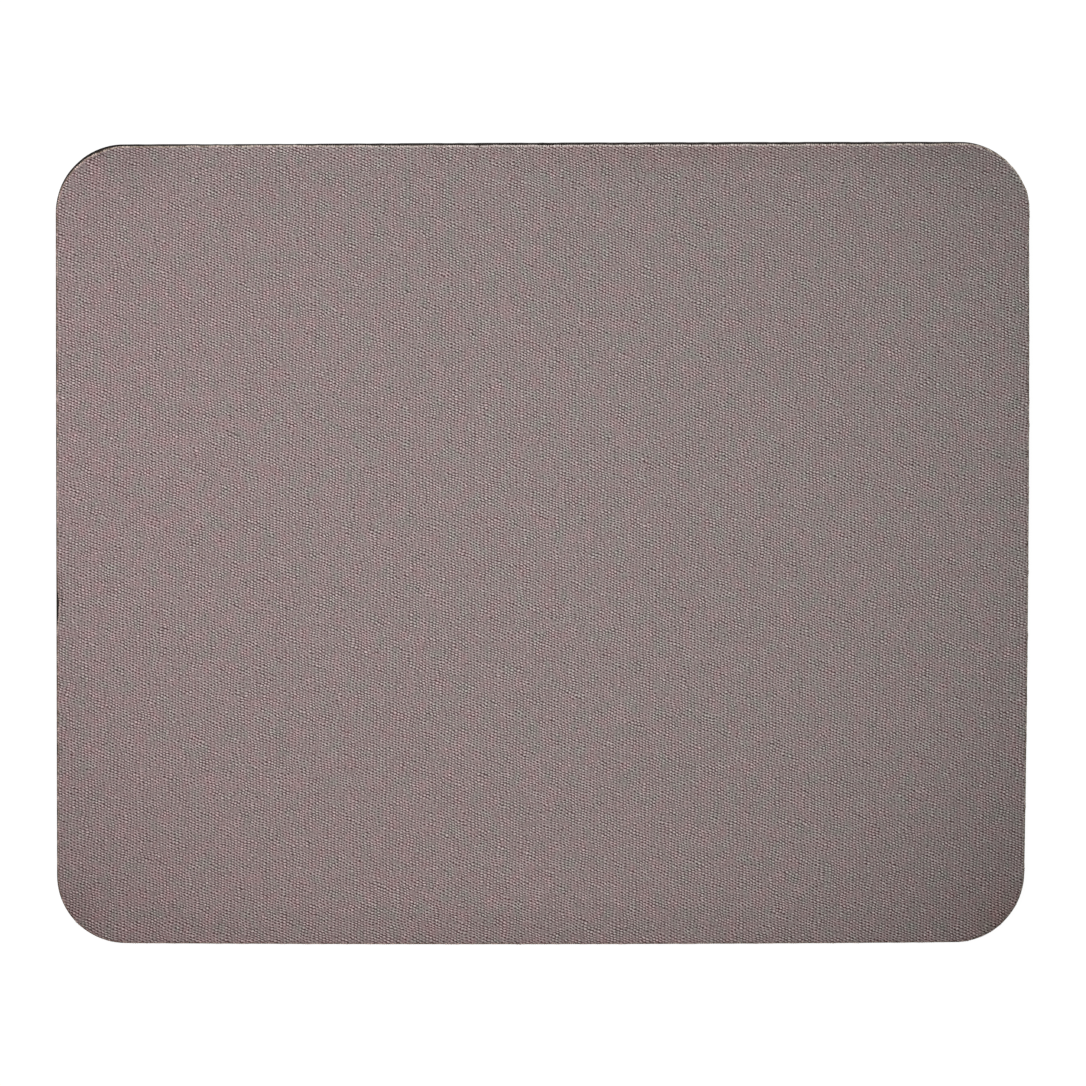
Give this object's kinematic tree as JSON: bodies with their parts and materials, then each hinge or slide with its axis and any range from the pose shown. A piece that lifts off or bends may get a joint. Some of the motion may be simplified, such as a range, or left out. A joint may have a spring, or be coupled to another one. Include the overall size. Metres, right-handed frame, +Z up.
{
  "type": "mouse pad",
  "caption": "Flat rectangular mouse pad with round corners: a knitted cloth top bonded to a sponge-rubber base that grips the desk.",
  "frame": {"origin": "middle of the underside, on the desk", "axes": "+X along the long side, +Y away from the user along the short side, +Z up out of the cloth"},
  "size_m": [0.24, 0.2, 0.003],
  "materials": {
    "sponge": "matt black sponge rubber, cut wall with open cells, moulded zigzag grip below",
    "hot_melt": "milky hot-melt film",
    "cloth": "taupe-grey interlock-knit polyester, matt, rounded over at the cut edge"
  },
  "bodies": {
    "root": {"sponge_base": "sponge", "bonding_film": "hot_melt", "knit_cloth": "cloth"}
  },
  "joints": []
}
